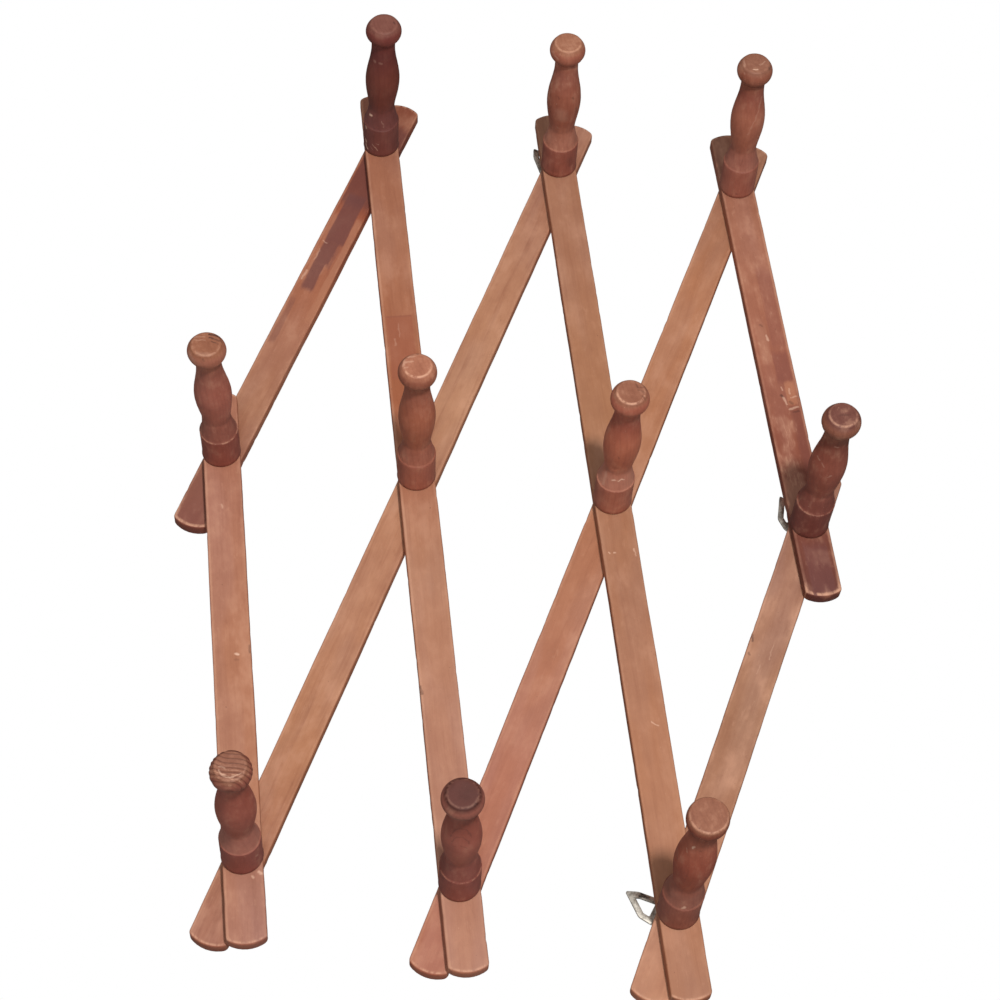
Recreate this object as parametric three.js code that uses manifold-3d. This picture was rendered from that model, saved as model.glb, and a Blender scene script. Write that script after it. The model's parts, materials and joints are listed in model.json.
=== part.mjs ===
// Expandable wooden peg rack: two layers of flat slats cross as a scissor lattice, and a
// turned peg stands on every crossing. The peg's tenon passes through both slats as their
// pivot, and a screw and a washer hold it from behind. Three crossings carry a steel hanger.
//
// Millimetres, +Z up, +X along the rows of pegs, front towards -Y. The origin is on the axis
// of the top middle peg, at the back face of its screw head, which lies against the wall.

import * as THREE from 'three';
import { mergeVertices } from 'three/addons/utils/BufferGeometryUtils.js';
import Module from 'manifold-3d';

const wasm = await Module();
wasm.setup();

// Driving dimensions: the lattice

const HOLE_SPACING = 219.1;
const HALF_ANGLE_DEG = 13; // between a slat and the vertical

const SLAT_WIDTH = 19.05;
const SLAT_THICKNESS = 6.35;
const TOP_END_LENGTH = 37; // from the top hole to the crown of the end above it
const BOTTOM_END_LENGTH = 43; // from the bottom hole to the crown of the end below it
const END_CROWN_HEIGHT = 3;
const END_CORNER_RADIUS = 2.2;
const SLAT_ARRIS_ROUND = 1; // on every long edge and round the crowns

// Driving dimensions: the turned pegs, in stretches from the slat outwards

const PEG_BASE_DIAMETER = 19.4;
const PEG_BASE_HEIGHT = 20.2;
const PEG_EDGE_ROUND = 0.6;
const SHOULDER_INNER_DIAMETER = 18;
const SHOULDER_RISE = 0.3;
const LOWER_NECK_DIAMETER = 14.4;
const LOWER_NECK_RISE = 9; // shoulder to the narrowest place, along a cove
const BELLY_DIAMETER = 18.4;
const BELLY_RISE = 22.9; // lower neck to belly
const UPPER_NECK_DIAMETER = 12.6;
const UPPER_NECK_RISE = 25.6; // belly to upper neck
const KNOB_DIAMETER = 19;
const KNOB_HALF_HEIGHT = 7.6; // the knob is a ball pressed a little flat
const KNOB_RISE = 10.2; // upper neck to the middle of the knob
const KNOB_CREASE_DEG = -46; // where the ball ends in a crease on the neck
const KNOB_FACE_RISE = 5.2; // middle of the knob to its flat face
const CUT_KNOB_FACE_RISE = 3.4; // the same on a knob cut shorter
const KNOB_RIM_ROUND = 0.9;
const TENON_DIAMETER = 9.5;

// Driving dimensions: the hardware

const SCREW_LENGTH = 25.4; // under the head
const SCREW_DIAMETER = 4.2;
const SCREW_POINT_LENGTH = 4.5;
const SCREW_HEAD_DIAMETER = 8.2;
const SCREW_HEAD_HEIGHT = 2.6;
const SCREW_HEAD_ROUND = 1.1;
const WASHER_DIAMETER = 12.7;
const WASHER_THICKNESS = 1;
const HANGER_THICKNESS = 1.2;
const HANGER_STRIP_WIDTH = 2.4;
const HANGER_EYE_DIAMETER = 12;
const HANGER_BASE_REACH = 8.5; // from the screw to the loop's base
const HANGER_BASE_OFFSET = 6.6; // from the middle line to either end of the base
const HANGER_SHORT_SIDE_REACH = 15.6; // end of the loop's short side
const HANGER_SHORT_SIDE_OFFSET = 5.9;
const HANGER_LONG_SIDE_REACH = 20.8; // end of the loop's long side
const HANGER_LONG_SIDE_OFFSET = 5.3;
const HANGER_NOSE_REACH = 26.4; // the loop's furthest corner
const HANGER_NOSE_OFFSET = 2.8;
const HANGER_CORNER_RADIUS = 1.3;
const HANGER_NECK_DEG = 48; // where the eye goes over into the loop, either side

// Clearances

const FACE_GAP = 0.3; // between faces that lie on each other
const BORE_GAP = 0.3; // all round a pin in its hole
const TENON_SETBACK = 0.15; // tenon's end inside the back slat's face
const PILOT_END_GAP = 1; // beyond the screw's point
const DRILL_OVERRUN = 1; // beyond either face of a slat

// Facets

const PEG_SIDES = 16;
const HOLE_SIDES = 16;
const SCREW_SIDES = 8;
const WASHER_SIDES = 12;
const CROWN_STEPS = 6;
const CORNER_STEPS = 2;
const ARRIS_STEPS = 2;
const COVE_STEPS = 3;
const BELLY_STEPS = 4;
const FLARE_STEPS = 2;
const KNOB_STEPS = 5;

// The pegs: where each one stands, in steps of half a row's pitch across and one row down,
// how many degrees it leans towards +X and +Z, as old turned pegs do, and the rise of its face

const PEGS = [
  { column: -2, row: 0, leanXDeg: 1.5, leanZDeg: -0.5, faceRise: KNOB_FACE_RISE },
  { column: 0, row: 0, leanXDeg: -0.5, leanZDeg: 0.5, faceRise: KNOB_FACE_RISE },
  { column: 2, row: 0, leanXDeg: -1.5, leanZDeg: 1, faceRise: KNOB_FACE_RISE },
  { column: -3, row: 1, leanXDeg: -0.5, leanZDeg: -2, faceRise: KNOB_FACE_RISE },
  { column: -1, row: 1, leanXDeg: 0, leanZDeg: -0.5, faceRise: KNOB_FACE_RISE },
  { column: 1, row: 1, leanXDeg: 1, leanZDeg: -1, faceRise: KNOB_FACE_RISE },
  { column: 3, row: 1, leanXDeg: 1, leanZDeg: 0, faceRise: KNOB_FACE_RISE },
  { column: -2, row: 2, leanXDeg: 0.5, leanZDeg: -1, faceRise: KNOB_FACE_RISE },
  { column: 0, row: 2, leanXDeg: -0.5, leanZDeg: -0.5, faceRise: KNOB_FACE_RISE },
  { column: 2, row: 2, leanXDeg: 2, leanZDeg: 3, faceRise: CUT_KNOB_FACE_RISE },
];

// The hangers: the peg behind which each one swivels, the way its loop points, in degrees
// from +X towards +Z, and which of its faces is against the slat

const HANGERS = [
  { peg: 2, pointsDeg: 120, turnedOver: true },
  { peg: 7, pointsDeg: 128, turnedOver: false },
  { peg: 10, pointsDeg: 160, turnedOver: false },
];

// Derived values: depths, all measured from the wall towards the front

const halfAngle = THREE.MathUtils.degToRad(HALF_ANGLE_DEG);
const hangerBack = SCREW_HEAD_HEIGHT + FACE_GAP + WASHER_THICKNESS + FACE_GAP;
const backSlatBack = hangerBack + HANGER_THICKNESS + FACE_GAP;
const backSlatFront = backSlatBack + SLAT_THICKNESS;
const frontSlatBack = backSlatFront + FACE_GAP;
const frontSlatFront = frontSlatBack + SLAT_THICKNESS;
const pegSeat = frontSlatFront + FACE_GAP;
const tenonEnd = backSlatBack + TENON_SETBACK;
const boreDiameter = TENON_DIAMETER + 2 * BORE_GAP;
const screwClearanceDiameter = SCREW_DIAMETER + 2 * BORE_GAP;

const MATERIALS = {
  frontSlat: { color: 0xb07a62, roughness: 0.62, metalness: 0 },
  backSlat: { color: 0xa8705a, roughness: 0.65, metalness: 0 },
  peg: { color: 0x84503f, roughness: 0.5, metalness: 0 },
  steel: { color: 0xafaaa0, roughness: 0.45, metalness: 1 },
  zinc: { color: 0x9c968a, roughness: 0.4, metalness: 1 },
};

const rack = new THREE.Group();
rack.name = 'peg_rack';

function addMesh(parent, name, geometry, finish) {
  const mesh = new THREE.Mesh(geometry, new THREE.MeshStandardMaterial(finish));
  mesh.name = name;
  parent.add(mesh);
  return mesh;
}

// Points along an arc about (x, z), from one angle to another, both ends included.
function arcPoints(x, z, radius, from, to, steps) {
  const points = [];
  for (let step = 0; step <= steps; step += 1) {
    const angle = from + ((to - from) * step) / steps;
    points.push(new THREE.Vector2(x + radius * Math.cos(angle), z + radius * Math.sin(angle)));
  }
  return points;
}

function circlePath(x, z, diameter, sides) {
  const points = arcPoints(x, z, diameter / 2, 0, 2 * Math.PI, sides);
  points.pop();
  return new THREE.Path(points);
}

// A plate cut from an outline in X and Z, with its middle plane at y = 0 and, where a round
// is given, its arrises rounded over.
function plateGeometry(outline, holes, thickness, round = 0) {
  const shape = new THREE.Shape(outline);
  shape.holes.push(...holes);
  const depth = thickness - 2 * round;
  const geometry = new THREE.ExtrudeGeometry(shape, {
    depth,
    bevelEnabled: round > 0,
    bevelThickness: round,
    bevelSize: round,
    bevelOffset: -round,
    bevelSegments: ARRIS_STEPS,
  });
  geometry.translate(0, 0, -depth / 2);
  geometry.rotateX(Math.PI / 2);
  return geometry;
}

function toSolid(geometry) {
  geometry.deleteAttribute('normal');
  geometry.deleteAttribute('uv');
  const merged = mergeVertices(geometry);
  return new wasm.Manifold(new wasm.Mesh({
    numProp: 3,
    vertProperties: merged.getAttribute('position').array,
    triVerts: new Uint32Array(merged.index.array),
  }));
}

function toGeometry(solid) {
  const { vertProperties, triVerts } = solid.getMesh();
  const geometry = new THREE.BufferGeometry();
  geometry.setAttribute('position', new THREE.BufferAttribute(vertProperties, 3));
  geometry.setIndex(new THREE.BufferAttribute(triVerts, 1));
  geometry.computeVertexNormals();
  return geometry;
}

// A turned piece: the profile gives radius and depth from the wall, and the depth runs
// towards -Y.
function turnedGeometry(profile, sides) {
  const geometry = new THREE.LatheGeometry(profile, sides);
  geometry.rotateZ(Math.PI);
  return geometry;
}

// A closed outline of straight lines, with the same round at every corner.
function roundedOutline(corners, radius, steps) {
  const outline = [];
  corners.forEach((corner, index) => {
    const before = corners[(index + corners.length - 1) % corners.length];
    const after = corners[(index + 1) % corners.length];
    const inward = new THREE.Vector2().subVectors(before, corner).normalize();
    const outward = new THREE.Vector2().subVectors(after, corner).normalize();
    const half = Math.acos(THREE.MathUtils.clamp(inward.dot(outward), -1, 1)) / 2;
    const middle = new THREE.Vector2().addVectors(inward, outward).normalize();
    const centre = corner.clone().addScaledVector(middle, radius / Math.sin(half));
    const turn = Math.PI - 2 * half;
    const start = Math.atan2(-middle.y, -middle.x) - turn / 2;
    outline.push(...arcPoints(centre.x, centre.y, radius, start, start + turn, steps));
  });
  return outline;
}

// A slat's top end, counter-clockwise: a rounded corner, the crown at the given height and
// the other corner.
function slatEnd(top) {
  const halfWidth = SLAT_WIDTH / 2;
  const crownRadius = (halfWidth ** 2 + END_CROWN_HEIGHT ** 2) / (2 * END_CROWN_HEIGHT);
  const crownCentre = top - crownRadius;
  const cornerX = halfWidth - END_CORNER_RADIUS;
  const reach = crownRadius - END_CORNER_RADIUS;
  const cornerZ = crownCentre + Math.sqrt(reach ** 2 - cornerX ** 2);
  const blend = Math.atan2(cornerZ - crownCentre, cornerX);
  return [
    ...arcPoints(cornerX, cornerZ, END_CORNER_RADIUS, 0, blend, CORNER_STEPS),
    ...arcPoints(0, crownCentre, crownRadius, blend, Math.PI - blend, CROWN_STEPS).slice(1, -1),
    ...arcPoints(-cornerX, cornerZ, END_CORNER_RADIUS, Math.PI - blend, Math.PI, CORNER_STEPS),
  ];
}

// A slat hangs from its top hole at the origin, with the others a spacing apart below it. It
// is rounded over first and drilled after, so the holes keep their sharp edges.
function slatGeometry(holeCount) {
  const span = (holeCount - 1) * HOLE_SPACING;
  const topEnd = slatEnd(TOP_END_LENGTH);
  const bottomEnd = slatEnd(span + BOTTOM_END_LENGTH).map((point) => point.negate());
  const board = plateGeometry([...topEnd, ...bottomEnd], [], SLAT_THICKNESS, SLAT_ARRIS_ROUND);
  let slat = toSolid(board);
  for (let hole = 0; hole < holeCount; hole += 1) {
    const drill = new THREE.CylinderGeometry(boreDiameter / 2, boreDiameter / 2,
      SLAT_THICKNESS + 2 * DRILL_OVERRUN, HOLE_SIDES);
    drill.translate(0, 0, -hole * HOLE_SPACING);
    slat = slat.subtract(toSolid(drill));
  }
  return toGeometry(slat);
}

// Points along a stretch of a turned peg, from one radius and depth to another. The shape
// says how far the radius has gone over, from 0 to 1, at each part of the stretch.
function stretch(from, to, steps, shape) {
  const points = [];
  for (let step = 1; step <= steps; step += 1) {
    const part = step / steps;
    const radius = THREE.MathUtils.lerp(from.x, to.x, shape(part));
    points.push(new THREE.Vector2(radius, THREE.MathUtils.lerp(from.y, to.y, part)));
  }
  return points;
}

const swell = (part) => (1 - Math.cos(Math.PI * part)) / 2; // level at both ends
const flare = (part) => part ** 2; // level at the start
const cove = (part) => 1 - (1 - part) ** 2; // level at the end

// The knob is a flattened ball on a short flare, cut flat in front with a rounded rim.
function knobProfile(neck, middle, faceRise) {
  const radius = KNOB_DIAMETER / 2;
  const rimRadius = radius * Math.sqrt(1 - (faceRise / KNOB_HALF_HEIGHT) ** 2);
  const start = THREE.MathUtils.degToRad(KNOB_CREASE_DEG);
  const end = Math.asin((faceRise - KNOB_RIM_ROUND) / KNOB_HALF_HEIGHT);
  const ball = arcPoints(0, 0, radius, start, end, KNOB_STEPS);
  ball.forEach((point) => {
    point.y = middle + (point.y * KNOB_HALF_HEIGHT) / radius;
  });
  return [
    ...stretch(neck, ball[0], FLARE_STEPS, flare),
    ...ball.slice(1),
    new THREE.Vector2(rimRadius - KNOB_RIM_ROUND, middle + faceRise),
    new THREE.Vector2(0, middle + faceRise),
  ];
}

// The peg is one turning. Its profile starts at the inner end of the pilot hole, comes back
// out of the tenon, and then goes forward along the outside to the knob's face.
function pegProfile(pilotEnd, faceRise) {
  const point = (radius, depth) => new THREE.Vector2(radius, depth);
  const pilotRadius = screwClearanceDiameter / 2;
  const baseRadius = PEG_BASE_DIAMETER / 2;
  const baseTop = pegSeat + PEG_BASE_HEIGHT;
  const shoulder = point(SHOULDER_INNER_DIAMETER / 2, baseTop + SHOULDER_RISE);
  const lowerNeck = point(LOWER_NECK_DIAMETER / 2, shoulder.y + LOWER_NECK_RISE);
  const belly = point(BELLY_DIAMETER / 2, lowerNeck.y + BELLY_RISE);
  const upperNeck = point(UPPER_NECK_DIAMETER / 2, belly.y + UPPER_NECK_RISE);
  return [
    point(0, pilotEnd),
    point(pilotRadius, pilotEnd),
    point(pilotRadius, tenonEnd),
    point(TENON_DIAMETER / 2, tenonEnd),
    point(TENON_DIAMETER / 2, pegSeat),
    point(baseRadius, pegSeat),
    point(baseRadius, baseTop - PEG_EDGE_ROUND),
    point(baseRadius - PEG_EDGE_ROUND, baseTop),
    shoulder,
    ...stretch(shoulder, lowerNeck, COVE_STEPS, cove),
    ...stretch(lowerNeck, belly, BELLY_STEPS, swell),
    ...stretch(belly, upperNeck, BELLY_STEPS, swell),
    ...knobProfile(upperNeck, upperNeck.y + KNOB_RISE, faceRise),
  ];
}

// Beyond its pilot hole the peg leans: each slice moves sideways in step with its height, so
// the foot stays flat on the slat, and the tenon and the pilot hole stay straight.
function leanBeyond(geometry, depth, leanXDeg, leanZDeg) {
  const slopeX = Math.tan(THREE.MathUtils.degToRad(leanXDeg));
  const slopeZ = Math.tan(THREE.MathUtils.degToRad(leanZDeg));
  const place = geometry.getAttribute('position');
  for (let index = 0; index < place.count; index += 1) {
    const height = Math.max(0, -place.getY(index) - depth);
    place.setX(index, place.getX(index) + height * slopeX);
    place.setZ(index, place.getZ(index) + height * slopeZ);
  }
}

// A pan-head screw, point first, whose flat back is at the given depth.
function screwProfile(back) {
  const point = (radius, depth) => new THREE.Vector2(radius, depth);
  const seat = back + SCREW_HEAD_HEIGHT;
  const headRadius = SCREW_HEAD_DIAMETER / 2;
  const shankEnd = seat + SCREW_LENGTH - SCREW_POINT_LENGTH;
  return [
    point(0, back),
    point(headRadius - SCREW_HEAD_ROUND, back),
    ...arcPoints(headRadius - SCREW_HEAD_ROUND, back + SCREW_HEAD_ROUND, SCREW_HEAD_ROUND,
      -Math.PI / 4, 0, 1),
    point(headRadius, seat),
    point(SCREW_DIAMETER / 2, seat),
    point(SCREW_DIAMETER / 2, shankEnd),
    point(0, seat + SCREW_LENGTH),
  ];
}

function washerProfile(back) {
  const hole = screwClearanceDiameter / 2;
  const rim = WASHER_DIAMETER / 2;
  const front = back + WASHER_THICKNESS;
  return [
    new THREE.Vector2(hole, front),
    new THREE.Vector2(hole, back),
    new THREE.Vector2(rim, back),
    new THREE.Vector2(rim, front),
    new THREE.Vector2(hole, front),
  ];
}

// A hanger is one stamping: an eye round the screw and a loop beside it for the wall nail.
// The loop's outer bar runs aslant from the short side to the nose on the long side.
function hangerGeometry() {
  const corners = [
    new THREE.Vector2(HANGER_BASE_REACH, -HANGER_BASE_OFFSET),
    new THREE.Vector2(HANGER_LONG_SIDE_REACH, -HANGER_LONG_SIDE_OFFSET),
    new THREE.Vector2(HANGER_NOSE_REACH, -HANGER_NOSE_OFFSET),
    new THREE.Vector2(HANGER_SHORT_SIDE_REACH, HANGER_SHORT_SIDE_OFFSET),
    new THREE.Vector2(HANGER_BASE_REACH, HANGER_BASE_OFFSET),
  ];
  const eyeRadius = HANGER_EYE_DIAMETER / 2;
  const loop = roundedOutline(corners, HANGER_CORNER_RADIUS, CORNER_STEPS);
  const neck = THREE.MathUtils.degToRad(HANGER_NECK_DEG);
  const eye = arcPoints(0, 0, eyeRadius, neck, 2 * Math.PI - neck, HOLE_SIDES);
  const opening = insetOutline(corners, HANGER_STRIP_WIDTH);
  return plateGeometry([...eye, ...loop], [
    circlePath(0, 0, screwClearanceDiameter, HOLE_SIDES),
    new THREE.Path(opening),
  ], HANGER_THICKNESS);
}

// The corners of a convex outline moved inwards, so that a strip of even width is left.
function insetOutline(corners, width) {
  return corners.map((corner, index) => {
    const before = corners[(index + corners.length - 1) % corners.length];
    const after = corners[(index + 1) % corners.length];
    const inward = new THREE.Vector2().subVectors(before, corner).normalize();
    const outward = new THREE.Vector2().subVectors(after, corner).normalize();
    const half = Math.acos(THREE.MathUtils.clamp(inward.dot(outward), -1, 1)) / 2;
    const middle = new THREE.Vector2().addVectors(inward, outward).normalize();
    return corner.clone().addScaledVector(middle, width / Math.sin(half));
  });
}

function crossing(peg) {
  return new THREE.Vector3(
    peg.column * HOLE_SPACING * Math.sin(halfAngle),
    0,
    -peg.row * HOLE_SPACING * Math.cos(halfAngle),
  );
}

// One layer of the lattice. A row further down, its slats stand one column further over, to
// the right where slant is 1 and to the left where it is -1, so the pegs that share a slat
// share a line. Slats are numbered from the left, and each hangs from its topmost peg.
function addLayer(name, slant, depth, finish) {
  const lineOf = (peg) => Math.round(peg.column - slant * peg.row);
  const lines = [...new Set(PEGS.map(lineOf))].sort((left, right) => left - right);
  lines.forEach((line, index) => {
    const pegs = PEGS.filter((peg) => lineOf(peg) === line);
    const slat = addMesh(rack, `${name}_${index + 1}`, slatGeometry(pegs.length), finish);
    slat.position.copy(crossing(pegs[0]));
    slat.position.y = -depth - SLAT_THICKNESS / 2;
    slat.rotation.y = -slant * halfAngle;
  });
}

addLayer('front_slat', 1, frontSlatBack, MATERIALS.frontSlat);
addLayer('back_slat', -1, backSlatBack, MATERIALS.backSlat);

// Each crossing's own stack: without a hanger, washer and screw sit that much further in.
PEGS.forEach((peg, index) => {
  const number = index + 1;
  const hanger = HANGERS.find((item) => item.peg === number);
  const stack = new THREE.Group();
  stack.position.copy(crossing(peg));
  rack.add(stack);

  const washerBack = hanger
    ? hangerBack - FACE_GAP - WASHER_THICKNESS
    : backSlatBack - FACE_GAP - WASHER_THICKNESS;
  const screwSeat = washerBack - FACE_GAP;
  const screwBack = screwSeat - SCREW_HEAD_HEIGHT;
  const pilotEnd = screwSeat + SCREW_LENGTH + PILOT_END_GAP;
  const turning = turnedGeometry(pegProfile(pilotEnd, peg.faceRise), PEG_SIDES);
  leanBeyond(turning, pilotEnd, peg.leanXDeg, peg.leanZDeg);
  addMesh(stack, `peg_${number}`, turning, MATERIALS.peg);
  addMesh(stack, `washer_${number}`, turnedGeometry(washerProfile(washerBack), WASHER_SIDES),
    MATERIALS.zinc);
  addMesh(stack, `screw_${number}`, turnedGeometry(screwProfile(screwBack), SCREW_SIDES),
    MATERIALS.zinc);

  if (hanger) {
    const plate = addMesh(stack, `hanger_${number}`, hangerGeometry(), MATERIALS.steel);
    plate.position.y = -hangerBack - HANGER_THICKNESS / 2;
    plate.rotation.order = 'YXZ';
    plate.rotation.y = -THREE.MathUtils.degToRad(hanger.pointsDeg);
    plate.rotation.x = hanger.turnedOver ? Math.PI : 0;
  }
});

export default rack;
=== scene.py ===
"""Expandable wooden peg rack: the finished pieces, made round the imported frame.

Metres, +Z up, the rack's front towards -Y. The sizes below are millimetres, and the places
come from the frame.
"""
import json
from functools import partialmethod
from math import acos, asin, atan2, copysign, cos, hypot, pi, radians, sin, sqrt, tan

import bmesh
import bpy
from mathutils import Matrix, Vector, noise

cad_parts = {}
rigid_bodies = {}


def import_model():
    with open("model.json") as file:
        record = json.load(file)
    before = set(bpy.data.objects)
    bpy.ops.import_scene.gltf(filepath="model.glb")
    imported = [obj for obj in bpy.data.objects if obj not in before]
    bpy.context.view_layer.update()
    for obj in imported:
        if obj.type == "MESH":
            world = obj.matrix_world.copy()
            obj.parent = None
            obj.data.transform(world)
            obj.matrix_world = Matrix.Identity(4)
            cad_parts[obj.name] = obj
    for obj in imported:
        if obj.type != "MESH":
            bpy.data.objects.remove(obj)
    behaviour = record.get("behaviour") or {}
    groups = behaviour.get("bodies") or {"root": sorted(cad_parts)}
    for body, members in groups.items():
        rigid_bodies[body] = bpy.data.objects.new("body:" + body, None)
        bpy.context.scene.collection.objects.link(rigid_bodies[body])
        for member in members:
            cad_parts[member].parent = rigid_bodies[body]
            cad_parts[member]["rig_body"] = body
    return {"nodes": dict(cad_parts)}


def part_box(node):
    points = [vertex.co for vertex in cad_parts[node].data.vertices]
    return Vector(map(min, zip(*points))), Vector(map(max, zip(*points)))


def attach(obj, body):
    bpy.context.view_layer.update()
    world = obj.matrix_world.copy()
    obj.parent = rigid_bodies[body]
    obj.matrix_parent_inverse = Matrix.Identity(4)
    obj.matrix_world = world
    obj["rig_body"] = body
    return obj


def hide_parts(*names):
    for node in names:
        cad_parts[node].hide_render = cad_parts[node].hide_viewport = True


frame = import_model()
scene = bpy.context.scene
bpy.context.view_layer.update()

MM = 0.001
UPRIGHT = Matrix.Rotation(radians(90), 4, "X")  # a piece's own Z turns to the front
SCALE = Matrix.Scale(MM, 4)

# Slats

SLAT_WIDTH = 19.05
HOLE_SPACING = 219.1
TOP_END = 36.85  # top hole to crown
BOTTOM_END = 42.85
CROWN_HEIGHT = 3
CROWN_RADIUS = ((SLAT_WIDTH / 2) ** 2 + CROWN_HEIGHT**2) / (2 * CROWN_HEIGHT)
CORNER_CUT = 1.5
BORE = 10.1
ARRIS = 0.9
WORN_WIDTH = 0.32  # what wear has taken off each edge, and how unevenly
EDGE_WAVE = 0.22
EDGE_RIPPLE = 0.1
NICK_WIDTH = 1.35
NICK_DEPTH = 0.99
FACE_WAVE = 0.06
COLUMNS = 8
HOLE_CELLS = 3  # cells of the grid from a hole's axis to the frame round it
ROWS_BETWEEN = 88
ROWS_ABOVE = 15
ROWS_BELOW = 17
CROWN_ROWS = 7  # rows over which an end's crown fades out
TOUCH = 0.1  # how near a hole's frame or wall counts as on it

# Pegs: radii and heights of the turning, in stretches from the slat outwards

BASE_RADIUS = 9.7
BASE_HEIGHT = 20.2
EDGE_ROUND = 0.35
EDGE_MIDDLE = 0.1
SHOULDER_RADIUS = 9.3
SHOULDER_RISE = 0.1
LOWER_NECK_RADIUS = 7
LOWER_NECK_RISE = 11.5
BELLY_RADIUS = 9.2
BELLY_RISE = 20.5
UPPER_NECK_RADIUS = 6.3
UPPER_NECK_RISE = 25.6
KNOB_RADIUS = 9.45
KNOB_HALF_HEIGHT = 7.6
KNOB_RISE = 10.2
KNOB_CREASE = radians(-46)
RIM_ROUND = 0.9
FACE_RINGS = 8
UPPER_NECK = BASE_HEIGHT + SHOULDER_RISE + LOWER_NECK_RISE + BELLY_RISE + UPPER_NECK_RISE
FACE = 93.4  # height of a knob's face over the slat
TENON_RADIUS = 4.75
TENON_CHAMFER = 0.3
FACE_GAP = 0.3  # between a front slat and its pegs
PILOT_RADIUS = 2.4
PILOT_SPARE = 1  # from a screw's tip to its hole's end
PEG_SIDES = 96
TOOL_MARKS = 0.1
OUT_OF_ROUND = 0.3
RIDGES_START = 5  # height over the upper neck where a peg's raised year rings begin
RIDGES_FADE = 6
RING_WANDER = 0.35
RING_WANDER_STEP = 1.9

# Hardware

SCREW_LENGTH = 25.4
SCREW_RADIUS = 2.1
SCREW_POINT = 4.5
HEAD_RADIUS = 4.1
HEAD_HEIGHT = 2.6
HEAD_CROWN = 1.2
HARDWARE_EDGE = 0.25
SLOT_LENGTH = 12
SLOT_WIDTH = 1.1
SLOT_DEPTH = 1.2
SLOT_TURN = radians(37)  # from one screw's slot to the next one's
SCREW_SIDES = 24
THREAD_PITCH = 1.8
THREAD_DEPTH = 0.55
WASHER_RADIUS = 6.35
WASHER_THICKNESS = 1
HANGER_THICKNESS = 1.2
HANGER_STRIP = 2.9
HANGER_EYE = 6
HANGER_NECK = radians(48)
HANGER_CORNERS = ((8.5, -6.6), (20.8, -5.3), (26.4, -2.8), (15.6, 5.9), (8.5, 6.6))
HANGER_CORNER_ROUND = 1.3
HANGER_OPENING_ROUND = 0.5
HANGER_RIM_ROUND = 0.22


def crossing(peg):
    """Where a peg's axis meets the wall's plane, from its washer in the frame."""
    low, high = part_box(f"washer_{peg}")
    return Vector(((low.x + high.x) / 2, 0, (low.z + high.z) / 2))


def depth_of(node):
    """How far a node's back and front faces stand from the wall, in millimetres."""
    low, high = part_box(node)
    return -high.y / MM, -low.y / MM


def add_piece(bm, node, finish):
    """Makes the finished piece that stands for a node of the frame, on the same body."""
    mesh = bpy.data.meshes.new(f"{node}_finished")
    bm.to_mesh(mesh)
    bm.free()
    mesh.materials.append(finish)
    mesh.shade_smooth()
    piece = bpy.data.objects.new(f"{node}_finished", mesh)
    scene.collection.objects.link(piece)
    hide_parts(node)
    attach(piece, frame["nodes"][node]["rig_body"])
    return piece


# Shapes


def bevel(bm, geom, offset, segments, affect="EDGES"):
    bmesh.ops.bevel(bm, geom=geom, offset=offset, segments=segments, profile=0.5,
                    affect=affect, material=-1)


def thicken(bm, thickness):
    """Makes a flat outline a plate of a thickness, half of it on either side."""
    bmesh.ops.translate(bm, vec=(0, 0, -thickness / 2), verts=bm.verts)
    raised = bmesh.ops.extrude_face_region(bm, geom=bm.faces[:])["geom"]
    bmesh.ops.translate(bm, vec=(0, 0, thickness),
                        verts=[item for item in raised if isinstance(item, bmesh.types.BMVert)])
    bmesh.ops.recalc_face_normals(bm, faces=bm.faces)


def crown_drop(across):
    """How far a slat's crowned end is short of its tip, off the middle."""
    return CROWN_RADIUS - sqrt(CROWN_RADIUS**2 - across**2)


def slat_height(row, span):
    """The height of a row of a slat's grid, from the top hole's axis."""
    spacing = HOLE_SPACING / ROWS_BETWEEN
    above = (row - ROWS_BELOW) * spacing - span
    if row < ROWS_BELOW:
        return -span - BOTTOM_END * (1 - row / ROWS_BELOW)
    return above if above <= 0 else above * TOP_END / (ROWS_ABOVE * spacing)


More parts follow.
